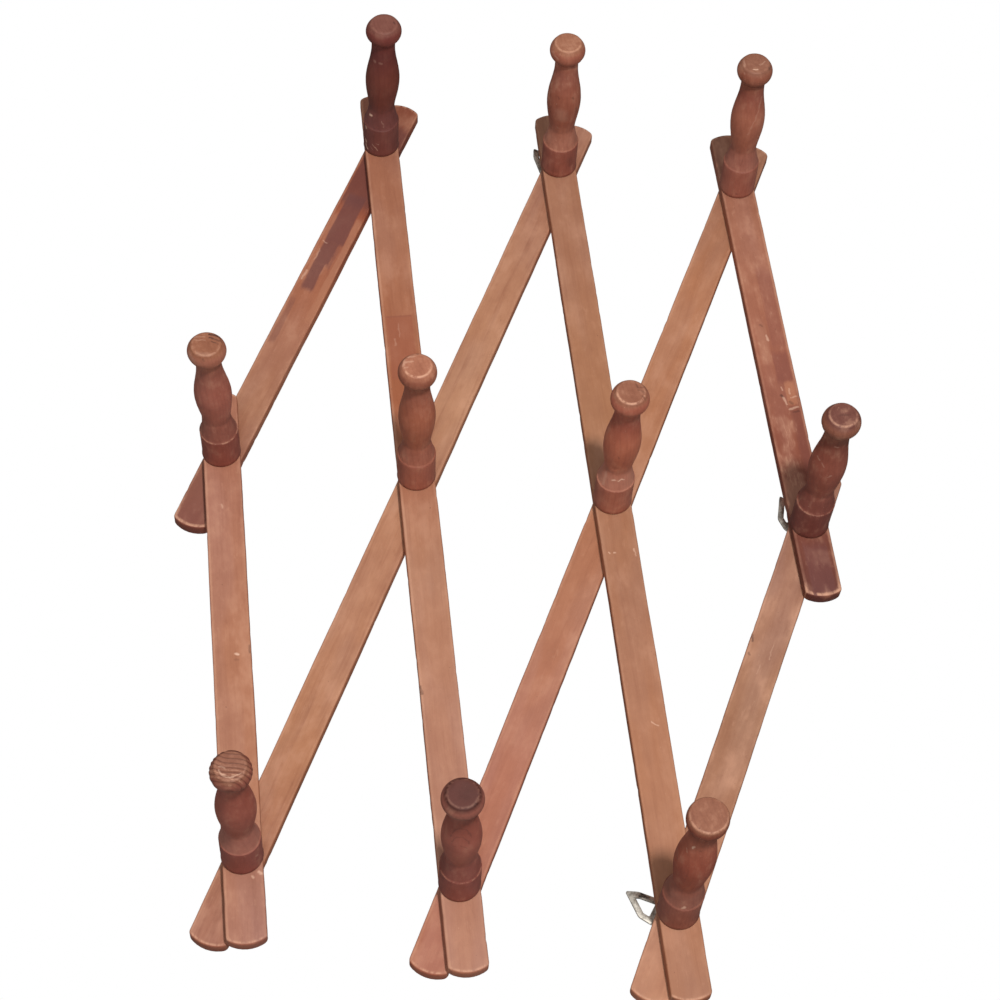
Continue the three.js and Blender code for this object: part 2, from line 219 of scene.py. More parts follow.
def slat_blank(holes, thickness):
    """A slat with crowned ends and its peg holes, hanging from the top hole at the origin."""
    bm = bmesh.new()
    span = (holes - 1) * HOLE_SPACING
    rows = ROWS_BELOW + (holes - 1) * ROWS_BETWEEN + ROWS_ABOVE
    bmesh.ops.create_grid(bm, x_segments=COLUMNS, y_segments=rows, size=1)
    corners = [vert for vert in bm.verts if abs(vert.co.x) > 0.99 and abs(vert.co.y) > 0.999]
    for vert in bm.verts:
        row = round((vert.co.y + 1) * rows / 2)
        across = vert.co.x * SLAT_WIDTH / 2
        drop = crown_drop(across)
        top_share = max(0, 1 - (rows - row) / CROWN_ROWS)
        bottom_share = max(0, 1 - row / CROWN_ROWS)
        height = slat_height(row, span) - drop * top_share + drop * bottom_share
        vert.co = (across, height, 0)
    bevel(bm, corners, CORNER_CUT, 4, "VERTICES")
    reach_x = HOLE_CELLS * SLAT_WIDTH / COLUMNS + TOUCH
    reach_y = HOLE_CELLS * HOLE_SPACING / ROWS_BETWEEN + TOUCH
    for hole in range(holes):
        centre = -hole * HOLE_SPACING

        def near_hole(item):
            return all(abs(vert.co.x) < reach_x and abs(vert.co.y - centre) < reach_y
                       for vert in item.verts)

        bmesh.ops.delete(bm, geom=[face for face in bm.faces if near_hole(face)],
                         context="FACES")
        frame_edges = [edge for edge in bm.edges if edge.is_boundary and near_hole(edge)]
        ring = bmesh.ops.create_circle(bm, segments=8 * HOLE_CELLS, radius=BORE / 2,
                                       matrix=Matrix.Translation((0, centre, 0)))
        ring_edges = list({edge for vert in ring["verts"] for edge in vert.link_edges})
        bmesh.ops.bridge_loops(bm, edges=frame_edges + ring_edges)
    thicken(bm, thickness)

    def at_hole(vert):
        nearest = round(-vert.co.y / HOLE_SPACING) * -HOLE_SPACING
        return hypot(vert.co.x, vert.co.y - nearest) < BORE / 2 + TOUCH

    bevel(bm, [edge for edge in bm.edges
               if edge.calc_face_angle(0) > radians(60) and not at_hole(edge.verts[0])],
          ARRIS, 3)
    return bm


def weather_slat(bm, thickness, seed):
    """Long gentle unevenness along a slat's edges, and nicks in its arrises."""
    for vert in bm.verts:
        across, along, up = vert.co
        side = 2 * across / SLAT_WIDTH
        wave = noise.noise(Vector((seed, along / 60, copysign(3, side))))
        ripple = noise.noise(Vector((along / 13, seed, copysign(5, side))))
        vert.co.x -= side * (WORN_WIDTH + EDGE_WAVE * wave + EDGE_RIPPLE * ripple)
        near_edge = max(0, abs(side) - 0.84) / 0.16
        near_face = max(0, 2 * abs(up) / thickness - 0.55) / 0.45
        nick = max(0, noise.noise(Vector((along / 4.5, seed + side, up))) - 0.28)
        hollow = nick * near_edge * near_face
        vert.co.x -= copysign(NICK_WIDTH * hollow, across)
        vert.co.z -= copysign(NICK_DEPTH * hollow, up)
        vert.co.z += FACE_WAVE * noise.noise(Vector((across / 9, along / 40, seed)))


def arc(x, height, radius, start, end, steps):
    """Points of a profile round a centre, from one angle to another."""
    angles = [start + (end - start) * step / steps for step in range(steps + 1)]
    return [(x + radius * cos(angle), height + radius * sin(angle))
            for angle in angles]


def stretch(start, end, steps, shape=lambda part: part):
    """Points of a profile between two places, whose radius goes over as the shape says."""
    parts = [step / steps for step in range(1, steps + 1)]
    return [(start[0] + (end[0] - start[0]) * shape(part),
             start[1] + (end[1] - start[1]) * part) for part in parts]


def swell(part):
    return (1 - cos(pi * part)) / 2


def swell_out(part):
    return sin(pi * part / 2)


def peg_profile(seat, tenon_end, pilot_end, face):
    """Radius and height of a peg's turning, from its pilot hole out to the knob's face."""
    base_top = seat + BASE_HEIGHT
    shoulder = (SHOULDER_RADIUS, base_top + SHOULDER_RISE)
    lower_neck = (LOWER_NECK_RADIUS, shoulder[1] + LOWER_NECK_RISE)
    belly = (BELLY_RADIUS, lower_neck[1] + BELLY_RISE)
    upper_neck = (UPPER_NECK_RADIUS, belly[1] + UPPER_NECK_RISE)
    middle = upper_neck[1] + KNOB_RISE
    rim = rim_radius(face - middle)
    ball_end = asin((face - middle - RIM_ROUND) / KNOB_HALF_HEIGHT)
    ball = [(radius, middle + rise * KNOB_HALF_HEIGHT / KNOB_RADIUS)
            for radius, rise in arc(0, 0, KNOB_RADIUS, KNOB_CREASE, ball_end, 18)]
    edge_radius, edge_height = ball[-1]
    rounding = [step * pi / 8 for step in range(1, 5)]
    return [
        (0, pilot_end),
        (PILOT_RADIUS, pilot_end),
        (PILOT_RADIUS, tenon_end),
        (TENON_RADIUS - TENON_CHAMFER, tenon_end),
        (TENON_RADIUS, tenon_end + TENON_CHAMFER),
        (TENON_RADIUS, seat),
        (BASE_RADIUS - EDGE_ROUND, seat),
        (BASE_RADIUS - EDGE_MIDDLE, seat + EDGE_MIDDLE),
        (BASE_RADIUS, seat + EDGE_ROUND),
        *stretch((BASE_RADIUS, seat + EDGE_ROUND), (BASE_RADIUS, base_top - EDGE_ROUND), 10),
        *arc(BASE_RADIUS - EDGE_ROUND, base_top - EDGE_ROUND, EDGE_ROUND, pi / 8,
             pi * 0.38, 3),
        shoulder,
        *stretch(shoulder, lower_neck, 10, lambda part: part * (1.25 - part / 4)),
        *stretch(lower_neck, belly, 18, lambda part: (swell(part) + swell_out(part)) / 2),
        *stretch(belly, upper_neck, 18, swell),
        *stretch(upper_neck, ball[0], 8, lambda part: part**2),
        *ball[1:],
        *[(edge_radius - (edge_radius - rim + RIM_ROUND) * (1 - cos(angle)),
           edge_height + (face - edge_height) * sin(angle)) for angle in rounding],
        *stretch((rim - RIM_ROUND, face), (0, face), FACE_RINGS),
    ]


def rim_radius(rise):
    """Where the knob's flat face, at a rise over its middle, cuts the pressed ball."""
    return KNOB_RADIUS * sqrt(1 - (rise / KNOB_HALF_HEIGHT) ** 2)


def turned(profile, sides):
    """A solid of revolution about its own Z from points of radius and height."""
    bm = bmesh.new()
    verts = [bm.verts.new((radius, 0, height)) for radius, height in profile]
    edges = [bm.edges.new(pair) for pair in zip(verts, verts[1:])]
    bmesh.ops.spin(bm, geom=verts + edges, cent=(0, 0, 0), axis=(0, 0, 1), dvec=(0, 0, 0),
                   angle=2 * pi, steps=sides, use_merge=True, use_duplicate=False)
    bmesh.ops.remove_doubles(bm, verts=bm.verts, dist=1e-4)
    bmesh.ops.recalc_face_normals(bm, faces=bm.faces)
    return bm


def weather_peg(bm, seat, pilot_end, seed, chips, heart, pitch, ridged):
    """Hand-turned unevenness, dents and raised year rings, all inside the turning's size."""
    bm.normal_update()
    for vert in bm.verts:
        radius = hypot(vert.co.x, vert.co.y)
        height = vert.co.z - seat
        if height < 0.5 or radius < 3 and vert.co.z < pilot_end + 1:
            continue
        turn = atan2(vert.co.y, vert.co.x)
        round_place = Vector((cos(turn), sin(turn), seed))
        ring = 0.5 + 0.5 * noise.noise(Vector((height / 2.6, seed, 0)))
        oval = 0.5 + 0.5 * noise.noise(round_place + Vector((0, 0, height / 30)))
        dent = max(0, noise.noise(round_place * 2.2 + Vector((0, 0, height / 5))) - 0.45)
        inward = TOOL_MARKS * ring + OUT_OF_ROUND * oval + chips * dent
        ridge = ridged * ring_wave(vert.co.x, vert.co.y, heart, pitch)
        ridge *= min(1, max(0, (height - UPPER_NECK - RIDGES_START) / RIDGES_FADE))
        vert.co.x -= min(inward, radius) * cos(turn)
        vert.co.y -= min(inward, radius) * sin(turn)
        vert.co -= vert.normal * ridge


def ring_wave(x, y, heart, pitch):
    """From 0 to 1 and back over each year ring, counted from the tree's heart."""
    from_heart = hypot(x - heart[0], y - heart[1])
    from_heart += RING_WANDER * sin(x / RING_WANDER_STEP)
    return 0.5 + 0.5 * sin(2 * pi * from_heart / pitch)


def lean(bm, start, toward_x, toward_up):
    """Leans a turning beyond a height, so its foot stays flat and its tenon straight."""
    for vert in bm.verts:
        height = max(0, vert.co.z - start)
        vert.co.x += height * tan(radians(toward_x))
        vert.co.y += height * tan(radians(toward_up))


def screw_blank(back, seed):
    """A slotted pan-head wood screw whose head's back is at the given height."""
    seat = back + HEAD_HEIGHT
    shank_end = (SCREW_RADIUS, seat + SCREW_LENGTH - SCREW_POINT)
    bm = turned([
        (0, back),
        (HEAD_RADIUS - HEAD_CROWN, back),
        *arc(HEAD_RADIUS - HEAD_CROWN, back + HEAD_CROWN, HEAD_CROWN, -pi / 2 + 0.3, 0, 5),
        (HEAD_RADIUS, seat - HARDWARE_EDGE),
        (HEAD_RADIUS - HARDWARE_EDGE, seat),
        *stretch((SCREW_RADIUS, seat), shank_end, 62),
        *stretch(shank_end, (0, seat + SCREW_LENGTH), 14),
    ], SCREW_SIDES)
    for vert in bm.verts:
        radius = hypot(vert.co.x, vert.co.y)
        along = vert.co.z - seat - SCREW_LENGTH / 3
        if along < 0 or radius < 0.05:
            continue
        turn = atan2(vert.co.y, vert.co.x) / (2 * pi)
        phase = (vert.co.z / THREAD_PITCH + turn) % 1
        cut = THREAD_DEPTH * min(1, 3.2 * abs(phase - 0.5) * 2) * min(1, along / 2)
        share = max(0.25, radius - cut) / radius if radius > 0.4 else 1
        vert.co.x *= share
        vert.co.y *= share
    cutter = bmesh.new()
    bmesh.ops.create_cube(cutter, size=1, matrix=Matrix.Translation((0, 0, back))
                          @ Matrix.Rotation(SLOT_TURN * seed, 4, "Z")
                          @ Matrix.Diagonal((SLOT_LENGTH, SLOT_WIDTH, 2 * SLOT_DEPTH, 1)))
    return cut_away(bm, cutter)


def cut_away(bm, cutter):
    """Cuts one closed shape out of another, and gives the result back as a bmesh."""
    shapes = []
    for shape in (bm, cutter):
        mesh = bpy.data.meshes.new("blank")
        shape.to_mesh(mesh)
        shape.free()
        shapes.append(bpy.data.objects.new("blank", mesh))
        scene.collection.objects.link(shapes[-1])
    blank, tool = shapes
    cut = blank.modifiers.new("cut", "BOOLEAN")
    cut.operation, cut.solver, cut.object = "DIFFERENCE", "EXACT", tool
    done = blank.evaluated_get(bpy.context.evaluated_depsgraph_get())
    result = bmesh.new()
    result.from_mesh(done.data)
    for shape in shapes:
        mesh = shape.data
        bpy.data.objects.remove(shape)
        bpy.data.meshes.remove(mesh)
    return result


def washer_blank(back):
    """A ring of rounded section."""
    hole, rim, edge = PILOT_RADIUS, WASHER_RADIUS, HARDWARE_EDGE
    front = back + WASHER_THICKNESS
    profile = [(hole, front - edge), (hole, back + edge), (hole + edge, back),
               (rim - edge, back), (rim, back + edge), (rim, front - edge),
               (rim - edge, front), (hole + edge, front), (hole, front - edge)]
    return turned(profile, 48)


def hanger_blank():
    """The hanger as one stamping: an eye round the screw, and a loop beside it."""
    bm = bmesh.new()
    first = bm.verts.new((HANGER_EYE * cos(HANGER_NECK),
                          HANGER_EYE * sin(HANGER_NECK), 0))
    eye = bmesh.ops.spin(bm, geom=[first], cent=(0, 0, 0), axis=(0, 0, 1), dvec=(0, 0, 0),
                         angle=2 * (pi - HANGER_NECK), steps=30)
    last = next(item for item in eye["geom_last"] if isinstance(item, bmesh.types.BMVert))
    corners = [bm.verts.new((reach, offset, 0)) for reach, offset in HANGER_CORNERS]
    chain = [last, *corners, first]
    for pair in zip(chain, chain[1:]):
        bm.edges.new(pair)
    opening = [bm.verts.new(place) for place in inset_corners()]
    for pair in zip(opening, opening[1:] + opening[:1]):
        bm.edges.new(pair)
    bevel(bm, corners, HANGER_CORNER_ROUND, 5, "VERTICES")
    bevel(bm, opening, HANGER_OPENING_ROUND, 3, "VERTICES")
    bmesh.ops.create_circle(bm, segments=28, radius=PILOT_RADIUS)
    bmesh.ops.triangle_fill(bm, use_beauty=True, edges=bm.edges[:])
    bmesh.ops.dissolve_limit(bm, angle_limit=radians(1), verts=bm.verts, edges=bm.edges)
    thicken(bm, HANGER_THICKNESS)
    bevel(bm, [edge for edge in bm.edges if edge.calc_face_angle(0) > radians(75)
               and abs(edge.verts[0].co.z - edge.verts[1].co.z) < 0.01], HANGER_RIM_ROUND, 2)
    return bm


def inset_corners():
    """The corners of the hanger's opening, a strip's width inside the loop's own."""
    loop = [Vector(corner) for corner in HANGER_CORNERS]
    inner = []
    for index, corner in enumerate(loop):
        back = (loop[index - 1] - corner).normalized()
        on = (loop[(index + 1) % len(loop)] - corner).normalized()
        half = acos(max(-1, min(1, back.dot(on)))) / 2
        middle = (back + on).normalized()
        inner.append((*(corner + middle * HANGER_STRIP / sin(half)), 0))
    return inner


# Finishes


class Term:
    """A number that varies over a surface. Sums on it add Math nodes."""

    def __init__(self, finish, socket):
        self.finish, self.socket = finish, socket

    def math(self, operation, *others):
        values = dict(enumerate((self, *others)))
        node = self.finish.node("Math", {"operation": operation}, values)
        return Term(self.finish, node.outputs[0])

    __add__ = __radd__ = partialmethod(math, "ADD")
    __sub__ = partialmethod(math, "SUBTRACT")
    __mul__ = partialmethod(math, "MULTIPLY")
    __truediv__ = partialmethod(math, "DIVIDE")
    __pow__ = partialmethod(math, "POWER")
    __abs__ = partialmethod(math, "ABSOLUTE")
    above = partialmethod(math, "MAXIMUM")
    below = partialmethod(math, "MINIMUM")
    root = partialmethod(math, "SQRT")

    def __rsub__(self, other):
        return (self * -1) + other

    def wave(self, pitch):
        """From 0 to 1 and back over each pitch."""
        return (self * (2 * pi / pitch)).math("SINE") * 0.5 + 0.5

    def between(self, start, end, soft):
        return self.rise(start - soft, start + soft) * self.rise(end + soft, end - soft)

    def rise(self, start, end):
        """0 before start, 1 after end, and smooth between them, in either direction."""
        node = self.finish.node(
            "MapRange", {"interpolation_type": "SMOOTHSTEP"},
            {"Value": self, "From Min": start, "From Max": end})
        return Term(self.finish, node.outputs[0])


class Finish:
    """One material, and the method that each of its nodes comes from."""

    def __init__(self, name):
        self.material = bpy.data.materials.new(name)
        self.material.use_nodes = True
        self.tree = self.material.node_tree
        self.tree.nodes.clear()
        self.colour = None

    def node(self, kind, settings=None, sockets=None):
        made = self.tree.nodes.new(f"ShaderNode{kind}")
        for key, value in (settings or {}).items():
            if key == "stops":
                ramp = made.color_ramp
                while len(ramp.elements) < len(value):
                    ramp.elements.new(0.5)
                for stop, (position, colour) in zip(ramp.elements, value):
                    stop.position, stop.color = position, colour
            else:
                setattr(made, key, value)
        for key, value in (sockets or {}).items():
            value = value.socket if isinstance(value, Term) else value
            if isinstance(value, bpy.types.NodeSocket):
                self.tree.links.new(value, made.inputs[key])
            else:
                made.inputs[key].default_value = value
        return made

    def local(self, place=(0, 0, 0), rotation=(0, 0, 0)):
        """The point in millimetres in a piece's own frame, whose origin and turn are given."""
        point = self.node("TexCoord").outputs["Object"]
        return self.node("Mapping", {"vector_type": "TEXTURE"},
                         {"Vector": point, "Location": place, "Rotation": rotation,
                          "Scale": [MM] * 3}).outputs[0]

    def axes(self, vector):
        node = self.node("SeparateXYZ", None, {0: vector})
        return [Term(self, socket) for socket in node.outputs]

    def joined(self, *axes):
        return self.node("CombineXYZ", None, dict(enumerate(axes))).outputs[0]

    def vector(self, operation, *values):
        return self.node("VectorMath", {"operation": operation}, dict(enumerate(values))).outputs

    def stroke(self, point, start, end, width):
        """1 within a scratch or dab between two points, and 0 away from it."""
        axis = end - start
        offset = self.vector("SUBTRACT", point, start)[0]
        share = Term(self, self.vector("DOT_PRODUCT", offset, axis / axis.length_squared)["Value"])
        share = share.above(0).below(1)
        along = self.node("VectorMath", {"operation": "SCALE"},
                          {0: axis, "Scale": share}).outputs[0]
        away = Term(self, self.vector("DISTANCE", offset, along)["Value"])
        return away.rise(width * 0.65, width * 0.1)

    def strokes(self, point, placed, marks):
        """Scratches and dabs together: a width, a strength and the places that each joins."""
        together = None
        for width, strength, *places in marks:
            points = [Vector(placed(*place)) for place in places]
            for start, end in zip(points, points[1:]):
                mask = self.stroke(point, start, end, width) * strength
                together = mask if together is None else together.above(mask)
        return together

    def noise(self, vector, period, seed, detail=2, roughness=0.5):
        """Noise whose features are a period apart, in millimetres along each axis."""
        scaled = self.node("Mapping", None,
                           {"Vector": vector, "Scale": [1 / step for step in period]})
        node = self.node("TexNoise", {"noise_dimensions": "4D"},
                         {"Vector": scaled.outputs[0], "W": seed, "Scale": 1.0,
                          "Detail": detail, "Roughness": roughness})
        return Term(self, node.outputs[0])

    def wobbled(self, vector, reach, period, seed):
        """The same points, each moved up to a reach along every axis."""
        node = self.node("TexNoise", {"noise_dimensions": "4D"},
                         {"Vector": vector, "W": seed / MM, "Scale": 1 / period, "Detail": 1})
        moved = self.vector("MULTIPLY_ADD", node.outputs["Color"], [2 * reach] * 3,
                            [-reach] * 3)[0]
        return self.vector("ADD", vector, moved)[0]

    def ramp(self, value, stops):
        """Colours at positions from 0 to 1, read at a value."""
        stops = [(position, tone(*colour)) for position, colour in stops]
        return self.node("ValToRGB", {"stops": stops}, {0: value}).outputs[0]

    def mix(self, share, first, second, blend="MIX"):
        """The first colour going over into the second one as the share says."""
        node = self.node("Mix", {"data_type": "RGBA", "blend_type": blend},
                         {0: share, 6: first, 7: second})
        return node.outputs[2]

    def paint(self, share, colour):
        self.colour = self.mix(share, self.colour, colour)

    def shade(self, share, colour):
        self.colour = self.mix(share, self.colour, colour, "MULTIPLY")

    def marks(self, point, placed, light, dark):
        for marks, colour in ((light, CHIP), (dark, DARK_MARK)):
            if marks:
                self.paint(self.strokes(point, placed, marks), colour)

    def shader(self, roughness, bump, depth, **constants):
        """The surface, from its colour, its roughness and the bump's height and depth."""
        normal = self.node("Bump", None, {"Height": bump, "Strength": 1, "Distance": depth * MM})
        sockets = {"Base Color": self.colour, "Roughness": roughness,
                   "Normal": normal.outputs[0], "Specular IOR Level": 0.35, **constants}
        surface = self.node("BsdfPrincipled", None, sockets)
        self.node("OutputMaterial", None, {0: surface.outputs[0]})
        return self.material


def tone(red, green, blue):
    """A colour given on a 0 to 255 scale, as the linear colour a shader takes."""
    def linear(value):
        value /= 255
        return value / 12.92 if value <= 0.04045 else ((value + 0.055) / 1.055) ** 2.4
    return (linear(red), linear(green), linear(blue), 1)


# Darkens the grain's fibres; on a peg's base it also paints shade along the top edge
GRAIN_TINT_AND_EDGE_SHADE = (0.7, 0.6, 0.55, 1)
STAIN_SHADE = (0.66, 0.53, 0.5, 1)
RING_SHADE = (0.45, 0.36, 0.34, 1)
AMBER = (1, 0.93, 0.82, 1)
# Painted shade for a peg's foot and for the crease under its knob
FOOT_AND_CREASE_SHADE = (0.52, 0.38, 0.34, 1)
# Painted shade for the side and end faces of the slats
PAINTED_SIDE_SHADE = (0.86, 0.72, 0.66, 1)
BARE_WOOD = tone(214, 162, 134)
CHIP = tone(228, 186, 162)
DARK_MARK = tone(62, 36, 32)
ENDS_RUBBED = 0.6
PEG_STOPS = (0, 0.3, 0.42, 0.64, 0.8, 0.87, 0.97, 0.99)  # where a peg's tones lie on its height


def slat_finish(name, place, turn, holes, seed, tones, streaks=0.22, mottled=0.5, rubbed=0.3,
                arrises=(0.3, 0.1), outline=None, flakes=None, stains=(), light=(), dark=()):
    """Stained pine, its grain along the slat, mottled by age and rubbed along the arrises.

    An outline gives the stretch where the arrises are worn bare, flakes the stretch where the
    stain comes off, and stains are patches of another tone with softer or harder borders, all
    in millimetres down from the top hole. Arrises say how far the left and the right one have
    gone light.
    """
    wood = Finish(name)
    local = wood.local(place, (0, turn, 0))
    across, through, along = wood.axes(local)
    down = along * -1
    span = (holes - 1) * HOLE_SPACING
    length = TOP_END + span + BOTTOM_END

    bend = wood.noise(local, (11, 11, 55), seed + 7, 1)
    grain = wood.joined(across + bend * 5, through, along)
    fibre = wood.noise(grain, (0.6, 0.6, 20), seed + 1, 3, 0.6)
    streak = wood.noise(grain, (2.4, 2.4, 75), seed + 2, 3, 0.6)
    patch = wood.noise(local, (11, 11, 20), seed + 3, 3, 0.6)
    worn = wood.noise(local, (3.2, 3.2, 8), seed + 4, 4, 0.65)

    part = (down + TOP_END) / length + (patch - 0.5) * 0.04
    wood.colour = wood.ramp(part, [(index / (len(tones) - 1), colour)
                                   for index, colour in enumerate(tones)])
    wood.shade(streak.rise(0.44, 0.74) * streaks, STAIN_SHADE)
    wood.shade(bend.rise(0.35, 0.65) * 0.8, AMBER)
    wood.shade(patch.rise(0.56, 0.3) * 0.4 * mottled, STAIN_SHADE)
    wood.paint(patch.rise(0.48, 0.72) * 0.42 * mottled, BARE_WOOD)
    wood.paint(worn.rise(0.55, 0.75) * 0.3 * mottled, BARE_WOOD)
    wood.shade(worn.rise(0.44, 0.26) * 0.4 * mottled, STAIN_SHADE)
    wood.shade(fibre.rise(0.45, 0.72) * 0.15, GRAIN_TINT_AND_EDGE_SHADE)

    for start, end, left, right, soft, strength, shade in stains:
        lengthways = down + (worn - 0.5) * 2.5 * soft
        sideways = across + (worn - 0.5) * 2 + (streak - 0.5) * 5
        inside = lengthways.between(start, end, soft) * sideways.between(left, right, 0.7)
        wood.paint(inside * strength, tone(*shade))
    if flakes:
        start, end, strength = flakes
        flake = wood.noise(grain, (1.0, 1.0, 6), seed + 5, 4, 0.7)
        flaked = flake.rise(0.52, 0.6) * patch.rise(0.5, 0.62) * down.between(start, end, 15)
        wood.paint(flaked * strength, BARE_WOOD)

    half = SLAT_WIDTH / 2
    above_top = along - (TOP_END - CROWN_RADIUS)
    below_bottom = down - (span + BOTTOM_END - CROWN_RADIUS)
    reach = above_top.above(below_bottom).above(0)
    crown = (across * across + reach * reach).root() - CROWN_RADIUS
    edge = (abs(across) - half).above(crown) + (worn - 0.5) * 1.2
    broken = wood.noise(grain, (1.8, 1.8, 9), seed + 6, 4, 0.65)
    crown_rub = crown.rise(-2.0, -0.9) * broken.rise(0.4, 0.6) * ENDS_RUBBED
    arris_rub = edge.rise(-1.5, -0.9) * broken.rise(0.42, 0.66) * rubbed
    rub = crown_rub.above(arris_rub)
    left_arris = across.rise(2.2 - half, 1.2 - half) * arrises[0]
    right_arris = across.rise(half - 2.2, half - 1.2) * arrises[1]
    rub = rub.above((left_arris + right_arris) * (patch.rise(0.3, 0.6) * 0.6 + 0.4))
    if outline:
        start, end, strength = outline
        bare = edge.rise(-2.6, -1.2) * broken.rise(0.34, 0.56) * strength
        rub = rub.above(bare * down.rise(start - 5, start + 10) * down.rise(end + 5, end - 5))
    # The side and end faces are darkened with painted shade, as they turn away from the light
    side = (abs(across) - half).above(crown).rise(-0.8, -0.35)
    wood.paint(rub * (1 - side), BARE_WOOD)
    wood.shade(side, PAINTED_SIDE_SHADE)
    wood.shade(crown.rise(-0.5, -0.1) * 0.6, PAINTED_SIDE_SHADE)
    speck = wood.noise(local, (1.1, 1.1, 1.7), seed + 8, 1)
    wood.paint(speck.rise(0.76, 0.79) * 0.15, CHIP)
    wood.paint(speck.rise(0.24, 0.21) * 0.5, DARK_MARK)
    wobbly = wood.wobbled(wood.joined(across, 0.0, down), 0.8, 2.4, seed + 9)
    wood.marks(wobbly, lambda off, depth: (off, 0, depth), light, dark)
    roughness = 0.5 + patch * 0.25 + rub * 0.1 - fibre * 0.08
    height = fibre * 0.3 + streak * 0.25 + worn * 0.5 + broken * rub * 0.6
    return wood.shader(roughness, height, 0.14)


def peg_finish(name, place, seat, profile, lean_start, lean, seed, tones, heart, pitch, rings,
               ridged, crests, notched, grain, cloudy, rubbed, base_worn, light, dark):
    """Turned and stained wood, dark on the base, with its year rings round a heart line."""
    wood = Finish(name)
    x, y, z = wood.axes(wood.local((place.x, -seat * MM, place.z)))
    height = y * -1
    over = (height - (lean_start - seat)).above(0)
    x = x - over * tan(radians(lean[0]))
    z = z - over * tan(radians(lean[1]))
    straight = wood.joined(x, z, height)
    face = profile[-1][1] - seat
    rim = rim_radius(face - UPPER_NECK - KNOB_RISE) - 0.35
    outward = (x * x + z * z).root() - rim
    on_face = height.rise(face - 1.4, face - 0.6)

    bend = wood.noise(straight, (8, 8, 30), seed + 7, 1)
    fibre = wood.noise(wood.joined(x + bend * 4, z, height), (0.8, 0.8, 13), seed + 2, 3, 0.6)
    patch = wood.noise(straight, (5, 5, 9), seed + 3, 3, 0.6)
    worn = wood.noise(straight, (2.2, 2.2, 2.8), seed + 4, 4, 0.65)
    part = height / face + (patch - 0.5) * 0.03
    base, lower, belly, upper, ball, end = tones
    stops = zip(PEG_STOPS, (lower, lower, belly, belly, upper, ball, ball, end))
    wood.colour = wood.ramp(part, stops)
    wood.paint(height.rise(BASE_HEIGHT + 0.1, BASE_HEIGHT - 0.3), tone(*base))

    wander = (x * (1 / RING_WANDER_STEP)).math("SINE") * RING_WANDER
    from_heart = ((x - heart[0]) ** 2 + (z - heart[1]) ** 2).root() + wander
    year = (from_heart + bend * (0 if ridged else 1.6)).wave(pitch)
    ridges_start = UPPER_NECK + RIDGES_START
    on_ridges = height.rise(ridges_start, ridges_start + RIDGES_FADE)
    quiet = 1 - on_face if notched else 1.0
    year_share = (on_ridges * 0.9 + 0.1) * rings * quiet if ridged or notched else rings
    wood.shade(patch.rise(0.56, 0.3) * 0.4, STAIN_SHADE)
    wood.paint(patch.rise(0.5, 0.75) * 0.3 * cloudy * quiet, BARE_WOOD)
    wood.paint(worn.rise(0.58, 0.78) * 0.25 * cloudy * quiet, BARE_WOOD)
    wood.shade(worn.rise(0.42, 0.24) * 0.4 * cloudy, STAIN_SHADE)
    wood.shade((year ** 5) * year_share, RING_SHADE)
    wood.shade(fibre.rise(0.45, 0.72) * grain, GRAIN_TINT_AND_EDGE_SHADE)
    if crests:
        crest = (1 - year).rise(0.8, 0.99) * worn.rise(0.44, 0.6) * z.rise(2, -3)
        near_face = height.rise(face - 4, face - 1)
        wood.paint(crest * near_face * crests, BARE_WOOD)

    # The knob's face rim goes light, most of all underneath where the light strikes: rubbed wear
    # and a painted highlight together
    underside = z.rise(4, -4) * 0.8 + 0.2
    rim_wear_and_highlight = abs(outward).rise(0.8, 0.1) * on_face * worn.rise(0.36, 0.56) * underside
    if notched:
        notch = wood.noise(straight, (1, 1, 9), seed + 10, 1)
        near = outward.rise(-0.3, 0.3) * outward.rise(1.8, 0.8)
        near = near * height.rise(face - 3, face - 1.5) * z.rise(-6, -3)
        wood.shade(notch.rise(0.48, 0.66) * near * notched, RING_SHADE)
        wood.paint(notch.rise(0.48, 0.36) * near * notched * 0.12, BARE_WOOD)
        crease = outward.rise(0.1, 0.5) * outward.rise(1.6, 0.9)
        crease = crease * z.rise(-1.5, -4.5) * height.rise(face - 4, face)
        wood.shade(crease * notched * 0.7, RING_SHADE)
    from_edge = abs(height - (BASE_HEIGHT - 0.1))
    base_rub = from_edge.rise(0.6, 0.2) * worn.rise(0.42, 0.58) * base_worn
    # Painted shade along the base's top edge, dimming the light that its rounding catches
    wood.shade(from_edge.rise(0.4, 0.1) * 0.6, GRAIN_TINT_AND_EDGE_SHADE)
    wood.paint((rim_wear_and_highlight * rubbed).above(base_rub), BARE_WOOD)
    # Painted shade at the foot, where the peg meets the slat, and in the crease under the knob
    foot = height.rise(2.2, 0.1) * 0.5
    crease = abs(height - (UPPER_NECK + KNOB_RISE - 5.5)).rise(1.3, 0.2)
    wood.shade(foot.above(crease * 0.5), FOOT_AND_CREASE_SHADE)
    wobbly = wood.wobbled(straight, 1.0, 2.6, seed + 9)
    wood.marks(wobbly, peg_place, light, dark)
    speck = wood.noise(straight, (0.9, 0.9, 1.3), seed + 8, 1)
    wood.paint(speck.rise(0.77, 0.8) * 0.35 * cloudy, CHIP)
    groove = wood.noise(straight, (40, 40, 0.8), seed + 6, 2)
    roughness = 0.47 + patch * 0.25
    relief = (year ** 2) * year_share * 0.8 + fibre * 0.2 + groove * 0.25 + worn * 0.4
    return wood.shader(roughness, relief, 0.2)


